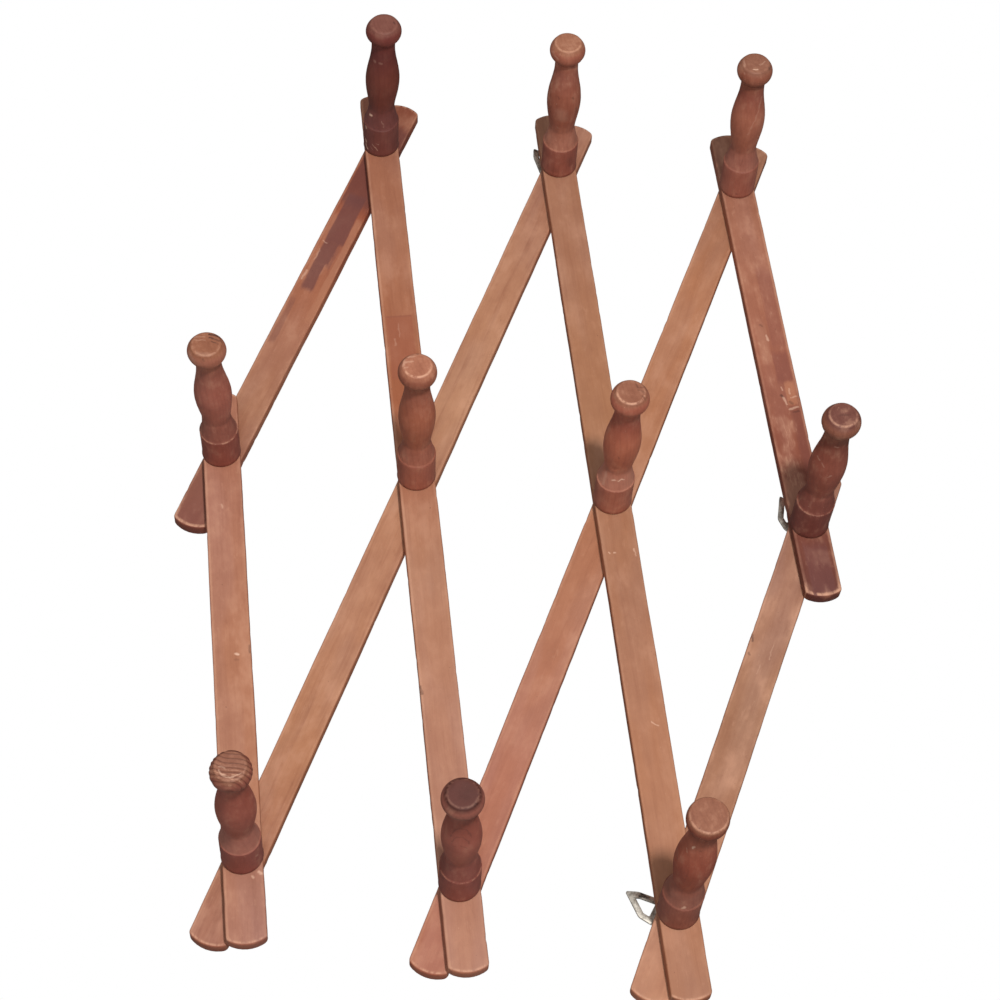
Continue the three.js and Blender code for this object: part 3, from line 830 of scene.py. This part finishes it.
def metal_finish(name, seed, *tones):
    """Plated steel that has gone dull and spotted: its bright, dull and rusty tones."""
    finish = Finish(name)
    place = finish.local()
    bright, dull, rust = [tone(*colour) for colour in tones]
    cloud = finish.noise(place, (3.5, 3.5, 3.5), seed, 4, 0.65)
    speck = finish.noise(place, (0.8, 0.8, 0.8), seed + 1, 2)
    finish.colour = finish.mix(cloud.rise(0.35, 0.65), bright, dull)
    finish.paint(cloud.rise(0.55, 0.75) * speck.rise(0.45, 0.65) * 0.7, rust)
    return finish.shader(0.38 + cloud * 0.25, cloud * 0.5 + speck * 0.3, 0.08, Metallic=0.75)


# The slats: the pegs on each one, its tones from top to bottom, and its wear. The tones were
# matched along each slat to the lit rack, so besides the stain they hold some painted light and
# shade that evens out the light's fall-off. A mark is a width, a strength and the places that
# it joins, each off the middle and down from the top hole.

SLATS = {}
SLATS["front_slat_1"] = dict(
    pegs=(4, 8), mottled=0.75, arrises=(0.35, 0.1),
    tones=((170, 115, 95), (175, 120, 100), (175, 120, 95), (175, 120, 95), (165, 115, 100)),
    light=(
        (1.6, 0.9, (1.8, 116), (2.6, 116.4)), (1.4, 0.35, (-1.4, 31.5), (-1, 33.5)),
        (1.8, 0.6, (7, 228), (8, 229)), (1.5, 0.5, (4, 230), (4.4, 230.5))),
    dark=((1.4, 0.2, (1.2, 119), (3, 119.5)), (1.2, 0.4, (8, 112), (8.4, 116))))
SLATS["front_slat_2"] = dict(
    pegs=(1, 5, 9), arrises=(0.4, 0.15),
    tones=((160, 105, 85), (170, 115, 90), (165, 100, 70), (175, 125, 100), (175, 125, 105),
           (175, 125, 105)),
    stains=(
        (119, 160, -7.6, 7, 0.4, 0.6, (155, 88, 65)),
        (119, 120, -7.6, 7, 0.4, 0.4, (140, 84, 66))),
    light=((1, 0.15, (-1, 124), (-1, 133)), (1.2, 0.18, (-3.5, 134), (-3.5, 138))),
    dark=((1.4, 0.5, (-8.6, 338), (-8.2, 342)),))
SLATS["front_slat_3"] = dict(
    pegs=(2, 6, 10), arrises=(0.1, 0.1),
    tones=((165, 115, 90), (170, 120, 95), (170, 120, 90), (165, 115, 90), (175, 120, 90),
           (165, 115, 90)),
    light=(
        (0.9, 0.5, (1.5, 344), (4.5, 346.5)), (1, 0.6, (-5.9, 250), (-5.6, 250.4)),
        (1, 0.6, (-3.3, 250.4), (-2.8, 250.6)), (1, 0.5, (6.7, 249), (7.1, 253))))
SLATS["front_slat_4"] = dict(
    pegs=(3, 7), mottled=0.9, arrises=(0.2, 0.4),
    tones=((150, 100, 80), (170, 115, 95), (165, 105, 85), (136, 76, 60), (105, 58, 50)),
    flakes=(60, 205, 0.3), outline=(250, 300, 0.8), rubbed=0.4,
    stains=(
        (60, 112, 0.5, 8, 4, 0.35, (134, 78, 70)), (96, 120, -7, -1, 4, 0.35, (182, 128, 102)),
        (114, 134, -0.5, 7.5, 2.5, 0.5, (124, 68, 62)),
        (133, 148, 2, 7.6, 1.5, 0.6, (184, 122, 92)), (150, 190, 3, 8, 3, 0.45, (116, 62, 54)),
        (232, 262, -6, 6, 3, 0.45, (112, 68, 66))),
    light=(
        (1.4, 0.5, (0.4, 143), (1.6, 147.5)), (1.6, 0.45, (2.4, 150.5), (6.6, 149.5)),
        (1.1, 0.4, (4.4, 138), (4.2, 141)), (1, 0.4, (4.4, 143.5), (7.2, 142.8)),
        (1.3, 0.5, (-1.5, 103), (-1.1, 106)), (0.9, 0.4, (0.4, 136.5), (0.6, 138.5))),
    dark=(
        (1.8, 0.6, (-0.4, 141.5), (0.2, 142.5)), (1.8, 0.4, (3.4, 146), (4.2, 147)),
        (1.5, 0.35, (-3.6, 96), (-3, 97)), (1.4, 0.4, (4.4, 152.5), (7, 152))))
SLATS["back_slat_1"] = dict(
    pegs=(1, 4), mottled=0.6, arrises=(0.3, 0),
    tones=((135, 75, 55), (155, 85, 60), (170, 110, 85), (170, 120, 95), (135, 80, 70)),
    outline=(245, 300, 0.7),
    stains=(
        (-20, 42, -7.5, 9.5, 4, 0.7, (106, 60, 56)), (34, 70, -5.2, 4.6, 2.2, 0.8, (112, 66, 62)),
        (69, 86, -5.2, 3.4, 2.6, 0.8, (112, 66, 62)),
        (85, 104, -5.2, 1.4, 2.4, 0.8, (112, 66, 62)), (50, 124, 5.2, 9.5, 2, 0.6, (178, 120, 92)),
        (112, 142, -8, -4, 3, 0.4, (116, 72, 66)), (225, 300, -10, 10, 9, 0.4, (124, 76, 66))),
    light=(
        (1, 0.35, (-6, 70), (-3.6, 71)), (1, 0.25, (-5.4, 76), (-5.6, 84)),
        (1.4, 0.4, (-6.6, 92), (-7, 98))))
SLATS["back_slat_2"] = dict(
    pegs=(2, 5, 8), mottled=0.7, streaks=0.5,
    tones=((165, 115, 95), (180, 130, 105), (185, 135, 105), (180, 130, 105), (175, 122, 92),
           (162, 110, 92)))
SLATS["back_slat_3"] = dict(
    pegs=(3, 6, 9), mottled=0.6,
    tones=((150, 105, 85), (180, 125, 95), (175, 120, 90), (175, 120, 95), (175, 115, 95),
           (170, 110, 90)))
SLATS["back_slat_4"] = dict(
    pegs=(7, 10), mottled=0.9,
    tones=((145, 100, 85), (170, 125, 105), (165, 120, 95), (165, 115, 90), (185, 135, 110)),
    dark=((1.6, 0.6, (-8.4, 68), (-7.8, 71)), (1.3, 0.4, (-7.4, 78), (-6.8, 79))),
    light=((0.8, 0.2, (2.4, 70), (2.6, 78)), (0.8, 0.2, (-0.4, 82), (-0.8, 88))))

# The pegs: how each one leans, in degrees towards +X and +Z, where its year rings have their
# heart, its wear and its marks, a few of which are painted glints and sheens on the knob. The
# tones are those of the base's side, its top with the lower neck, the belly, the upper neck,
# the knob and its face; matched zone by zone to the lit pegs, they hold some painted light and
# shade besides the stain.


def peg_place(first, second, third=0):
    """A point on a peg's side, from height over the slat, degrees from +X towards +Z and radius.

    Without a radius it's one on the knob's face, from X, Z and minus its depth below the face.
    """
    if third <= 0:
        return first, second, FACE + third
    angle = radians(second)
    return third * cos(angle), third * sin(angle), first


PEG_DEFAULTS = dict(
    heart=(30, 14), pitch=1.9, rings=0.12, ridged=0, crests=0, notched=0, grain=0.16,
    cloudy=0.7, rubbed=0.3, base_worn=0, chips=0.6, light=(), dark=())
PEGS = {}
PEGS[1] = dict(
    lean=(1.5, -0.5), rubbed=0.08, cloudy=0.15, grain=0.1,
    tones=((120, 67, 60), (115, 65, 60), (115, 58, 47), (100, 45, 42), (115, 55, 48),
           (128, 78, 67)),
    light=(
        (1.7, 0.85, (28.2, 224, 7.5), (28.4, 230, 7.5)),
        (1.7, 0.9, (19, 217, 9.6), (18.2, 220, 9.6)), (1.7, 0.8, (8.4, 217, 9.6), (7.4, 219, 9.6)),
        (1.2, 0.8, (5.6, 215, 9.6), (3.6, 218, 9.6), (2.4, 227, 9.6)),
        (0.8, 0.4, (8.5, 250, 9.6), (5.2, 266, 9.6)), (0.8, 0.3, (6, 240, 9.6), (4, 250, 9.6)),
        (0.8, 0.35, (10, 262, 9.6), (9.4, 270, 9.6)), (0.8, 0.2, (27, 279, 7.6), (23, 288, 8.2)),
        (2, 0.16, (70.5, 234, 6.6), (70.5, 238, 6.6)),
        (2, 0.14, (70.7, 266, 6.6), (70.5, 270, 6.6))),
    dark=((1.2, 0.5, (5, 1.8), (6, 1)),))
PEGS[2] = dict(
    lean=(-0.5, 0.5), rubbed=0.5, cloudy=1,
    tones=((150, 85, 70), (170, 110, 90), (155, 90, 70), (155, 93, 77), (160, 95, 75),
           (162, 107, 82)),
    # The second mark on the next line, at the knob's lower left rim, is wear and a painted
    # highlight
    light=((8, 0.14, (50, 266, 9.1), (46, 272, 9.1)), (2, 0.2, (90.5, 214, 8.6), (89, 240, 9))),
    dark=(
        (1.2, 0.35, (61, 252, 8.2), (60, 256, 8.2)),
        (1.2, 0.4, (60.5, 305, 8.3), (59.5, 309, 8.3)), (2.2, 0.3, (52, 322, 9), (46, 326, 9.1)),
        (5, 0.22, (13, 308, 9.6), (9, 316, 9.6)), (5, 0.14, (6, 248, 9.6), (5, 262, 9.6))))
PEGS[3] = dict(
    lean=(-1.5, 1), rubbed=0.08, cloudy=0.6,
    tones=((162, 97, 80), (160, 100, 84), (168, 102, 80), (145, 80, 65), (145, 85, 65),
           (145, 95, 75)),
    light=(
        (1.3, 0.16, (73, 330, 6.5), (62, 300, 8), (50, 276, 9.2)),
        (1.3, 0.2, (-6.2, 0.4), (-5.6, -3.2)), (1.1, 0.25, (2.4, -1), (4.6, 1.4)),
        # The first mark on the next line is a painted glint on the knob's face
        (1.1, 0.75, (-0.9, -4.6), (1, -4.4)), (1, 0.2, (91.5, 232, 7.8), (88.5, 240, 9))),
    dark=(
        (2.2, 0.75, (6.6, -2, -1), (7.2, -0.8, -1.4)),
        (0.9, 0.25, (36.7, 290, 7.5), (25, 268, 7.9)),
        (1.6, 0.25, (3, 268, 9.7), (3.4, 276, 9.7))))
PEGS[4] = dict(
    lean=(-0.5, -2), base_worn=0.3,
    tones=((145, 79, 66), (144, 85, 71), (166, 98, 82), (150, 90, 75), (160, 100, 80),
           (150, 95, 70)),
    light=(
        (0.9, 0.25, (-6, 3.4), (-1, 4.6)), (0.8, 0.2, (-5.4, 1.8), (-0.6, 2.4)),
        # On the next line: a painted sheen on the knob's left, then a light crescent at the face's
        # lower rim that is wear and painted highlight
        (5, 0.16, (90, 214, 8.6), (89, 236, 8.8)), (2.6, 0.14, (-2.6, -5.8), (2.6, -5.6))),
    dark=(
        (1.2, 0.85, (0.6, 5.9), (5.8, 5.4, -0.3)), (1.2, 0.75, (1, 3.9), (6.2, 3.1)),
        (1, 0.6, (2.2, 2), (5.6, 1.2)), (1, 0.5, (6.2, 4.6, -0.4), (7.4, 2.4, -0.8)),
        (1.3, 0.35, (91.8, 270, 7.8), (91.2, 274, 8))))
PEGS[5] = dict(
    lean=(0, -0.5), rubbed=0.75,
    tones=((166, 98, 79), (160, 97, 78), (170, 100, 75), (160, 95, 75), (145, 85, 65),
           (170, 110, 85)),
    light=(
        (1.2, 0.28, (-5.2, 4.2), (-1.4, 5.6)), (1.2, 0.3, (-6.4, 1), (-2.6, 2)),
        (1.2, 0.2, (-5.8, -1.8), (-4.2, -1.2)), (1.5, 0.3, (-6.9, -1), (-6.4, 2.6))),
    dark=((0.8, 0.4, (-1.2, 6.8), (1.4, 7)),))
PEGS[6] = dict(
    lean=(1, -1), rubbed=0.75, base_worn=0.1,
    tones=((170, 103, 83), (182, 120, 100), (180, 105, 80), (150, 80, 64), (165, 95, 75),
           (148, 95, 73)),
    light=(
        (1, 0.9, (27, 254, 7.6), (28, 266, 7.5), (27.2, 278, 7.6),
         (28.6, 290, 7.4), (27.6, 300, 7.5)),
        (2, 0.2, (30, 222, 7.3), (22, 228, 8.9))),
    dark=(
        (1.2, 0.36, (1.6, 4.6), (3, 3.2), (5.6, 3.6)),
        (1.2, 0.3, (3.4, 1.6), (5, 1.4), (6.2, 0.2)), (1.3, 0.35, (5.4, -1.6), (6.4, -3, -0.4)),
        (1, 0.35, (51, 262, 9.2), (50, 265, 9.2))))
PEGS[7] = dict(
    lean=(1, 0), chips=1.2, rubbed=0.45, base_worn=0.25, cloudy=0.9,
    tones=((122, 66, 57), (127, 70, 59), (145, 80, 64), (122, 64, 50), (135, 83, 65),
           (114, 68, 58)),
    light=(
        (1.3, 0.24, (63.5, 214, 7.8), (63, 226, 7.9)), (1.3, 0.2, (62, 238, 8), (60.5, 246, 8.1)),
        (1.3, 0.24, (54.3, 270, 9.1), (55.5, 278, 9)),
        (1.3, 0.2, (76, 268, 6.3), (75.5, 278, 6.3)), (1.2, 0.25, (44, 255, 9.2), (45, 262, 9.2))),
    dark=((1.6, 0.3, (-1.6, -0.6), (2.6, 0.8)),))
PEGS[8] = dict(
    lean=(0.5, -1), heart=(3, 46), pitch=2.1, rings=0.75, ridged=0.3, crests=0.45, rubbed=0.2,
    tones=((145, 80, 70), (165, 105, 90), (155, 85, 70), (150, 80, 65), (140, 80, 65),
           (140, 90, 70)),
    light=(
        (1, 0.45, (-4.6, -2.2), (-3, -3.7), (-1, -4.7), (1.4, -4.8), (3.2, -4), (5, -2.4)),
        (1, 0.3, (-4.8, -0.4), (-2.2, -1)), (1.6, 0.3, (12.3, 328, 9.6), (12, 331, 9.6))))
PEGS[9] = dict(
    lean=(-0.5, -0.5), heart=(-1, -17), pitch=2.2, notched=0.7, rubbed=0.12, base_worn=0.2,
    cloudy=0.5,
    tones=((145, 80, 70), (135, 75, 65), (160, 90, 75), (138, 71, 57), (141, 83, 70),
           (92, 49, 42)),
    dark=(
        (9, 0.2, (1.6, 1.4), (2, 0.2)),
        (1.1, 0.5, (86, 246, 9.4), (87.4, 262, 9.3), (87.4, 282, 9.3), (86, 298, 9.4)),
        (0.9, 0.3, (64, 238, 7.8), (71, 254, 6.8), (72.6, 272, 6.5),
         (71, 292, 6.8), (64, 312, 7.8)),
        (0.9, 0.3, (60, 245, 8.5), (65.4, 260, 7.6), (66, 282, 7.5), (60, 302, 8.5)),
        (0.9, 0.25, (57, 255, 8.9), (60, 272, 8.5), (57, 292, 8.9))))
PEGS[10] = dict(
    lean=(2, 3), chips=1.2, rubbed=0.45,
    tones=((145, 85, 70), (145, 90, 75), (150, 75, 55), (166, 95, 73), (128, 64, 44),
           (142, 90, 68)),
    light=(
        (1.3, 0.8, (71.4, 236, 6.6), (73, 240, 6.4)), (0.9, 0.3, (68.6, 214, 7.1), (67, 224, 7.3)),
        (1.5, 0.55, (21.6, 266, 8.9), (22.2, 274, 8.8)), (1, 0.5, (-2.5, 6.4), (2.5, 6.6))),
    dark=(
        (1.5, 0.6, (-6.9, 0.6, -0.6), (-6.6, -1.6, -0.5)),
        (1.5, 0.5, (-6, -3.4, -0.4), (-5, -4.9, -0.3)), (1, 0.4, (91.6, 240, 7.6), (92, 246, 7.2)),
        (1.1, 0.4, (71.6, 268, 6.7), (71.8, 272, 6.7)),
        (4, 0.3, (25.5, 200, 8.2), (24, 214, 8.4))))

# The hangers: which way each one's loop points, in degrees, and whether it's turned over

HANGERS = {2: (120, True), 7: (128, False), 10: (160, False)}

steel = metal_finish("dull_steel", 3, (215, 210, 200), (145, 140, 132), (112, 82, 64))
zinc = metal_finish("old_zinc", 8, (178, 172, 160), (120, 114, 104), (104, 74, 54))

for order, (node, style) in enumerate(SLATS.items(), 1):
    pegs = style.pop("pegs")
    top, bottom = crossing(pegs[0]), crossing(pegs[-1])
    back, front = depth_of(node)
    place = Vector((top.x, -(back + front) / 2 * MM, top.z))
    turn = atan2(top.x - bottom.x, top.z - bottom.z)
    seed = 10.0 * order
    shape = slat_blank(len(pegs), front - back)
    weather_slat(shape, front - back, seed)
    shape.transform(Matrix.Translation(place) @ Matrix.Rotation(turn, 4, "Y") @ UPRIGHT @ SCALE)
    finish = slat_finish(f"{node}_wood", place, turn, len(pegs), seed, **style)
    add_piece(shape, node, finish)

for peg, style in PEGS.items():
    style = {**PEG_DEFAULTS, **style}
    place = crossing(peg)
    to_world = Matrix.Translation(place) @ UPRIGHT @ SCALE
    screw_back, screw_tip = depth_of(f"screw_{peg}")
    tenon_end, face = depth_of(f"peg_{peg}")
    seat = depth_of("front_slat_1")[1] + FACE_GAP
    pilot_end = screw_tip + PILOT_SPARE
    profile = peg_profile(seat, tenon_end, pilot_end, face)
    shape = turned(profile, PEG_SIDES)
    weather_peg(shape, seat, pilot_end, 3.7 * peg, style.pop("chips"), style["heart"],
                style["pitch"], style["ridged"])
    lean(shape, pilot_end, *style["lean"])
    shape.transform(to_world)
    finish = peg_finish(f"peg_{peg}_wood", place, seat, profile, pilot_end, seed=5.3 * peg,
                        **style)
    add_piece(shape, f"peg_{peg}", finish)

    hardware = {"screw": screw_blank(screw_back, peg),
                "washer": washer_blank(depth_of(f"washer_{peg}")[0])}
    for kind, shape in hardware.items():
        shape.transform(to_world)
        add_piece(shape, f"{kind}_{peg}", zinc)

for peg, (points, turned_over) in HANGERS.items():
    back, front = depth_of(f"hanger_{peg}")
    shape = hanger_blank()
    if turned_over:
        shape.transform(Matrix.Rotation(pi, 4, "X"))
    shape.transform(Matrix.Translation(crossing(peg) + Vector((0, -(back + front) / 2 * MM, 0)))
                    @ UPRIGHT @ Matrix.Rotation(radians(points), 4, "Z") @ SCALE)
    add_piece(shape, f"hanger_{peg}", steel)

# The studio: a pale floor, soft light and the camera


def add_object(name, data, place, rotation=(0, 0, 0)):
    made = bpy.data.objects.new(name, data)
    made.location = place
    made.rotation_euler = rotation
    scene.collection.objects.link(made)
    return made


def add_light(name, place, target, size, power, colour):
    data = bpy.data.lights.new(name, "AREA")
    data.shape, data.size, data.energy, data.color = "DISK", size, power, colour
    aim = (Vector(target) - Vector(place)).to_track_quat("-Z", "Y").to_euler()
    return add_object(name, data, place, aim)


MIDDLE = (0, -0.04, -0.21)
add_light("key", (0.29, -1.6, -0.64), MIDDLE, 0.15, 20, (1, 0.98, 0.95))
add_light("fill", (-1.2, -1.5, 0.7), MIDDLE, 1.6, 4, (1, 0.98, 0.96))
back_light = add_light("back", (0.1, 2.2, -0.1), MIDDLE, 0.3, 0.6, (1, 0.99, 0.98))
back_light.data.spread = radians(24)
back_light.visible_camera = False
back_light.visible_glossy = False

world = bpy.data.worlds.new("studio")
scene.world = world
world.use_nodes = True
nodes, links = world.node_tree.nodes, world.node_tree.links
nodes.clear()
rays = nodes.new("ShaderNodeLightPath").outputs


def glow(colour, strength):
    made = nodes.new("ShaderNodeBackground")
    made.inputs["Color"].default_value = (*colour, 1)
    made.inputs["Strength"].default_value = strength
    return made.outputs[0]


def by_ray(kind, others, its_own):
    """The world as rays of one kind see it, and as the others do."""
    made = nodes.new("ShaderNodeMixShader")
    for socket, source in zip(made.inputs, (rays[kind], others, its_own)):
        links.new(source, socket)
    return made.outputs[0]


reflected = by_ray("Is Glossy Ray", glow((1, 1, 1), 0.32), glow((1, 0.86, 0.78), 0.1))
seen = by_ray("Is Camera Ray", reflected, glow((1, 1, 1), 1))
links.new(seen, nodes.new("ShaderNodeOutputWorld").inputs[0])

FLOOR_REACH = 4  # to each side, in metres
FLOOR_HEIGHT = -1.1
floor_shape = bmesh.new()
bmesh.ops.create_grid(floor_shape, x_segments=1, y_segments=1, size=FLOOR_REACH)
floor_mesh = bpy.data.meshes.new("floor")
floor_shape.to_mesh(floor_mesh)
floor_shape.free()
finish = Finish("pale_floor")
cloud = finish.noise(finish.local(), (300, 300, 300), 1.0)
finish.colour = finish.mix(cloud, (0.8, 0.79, 0.77, 1), (0.84, 0.83, 0.81, 1))
floor_mesh.materials.append(finish.shader(0.8, cloud, 0.2))
add_object("floor", floor_mesh, (0, 0, FLOOR_HEIGHT))

CAMERA_PLACE = (0.029546, -0.961698, -0.826813)
CAMERA_TURN = [radians(angle) for angle in (122.8997, -6.7721, -2.1989)]
camera = bpy.data.cameras.new("camera")
camera.sensor_width = 36
camera.lens = 81.12
camera.clip_start = 0.01
scene.camera = add_object("camera", camera, CAMERA_PLACE, CAMERA_TURN)

settings = scene.view_settings
settings.view_transform = "Standard"
settings.look = "None"
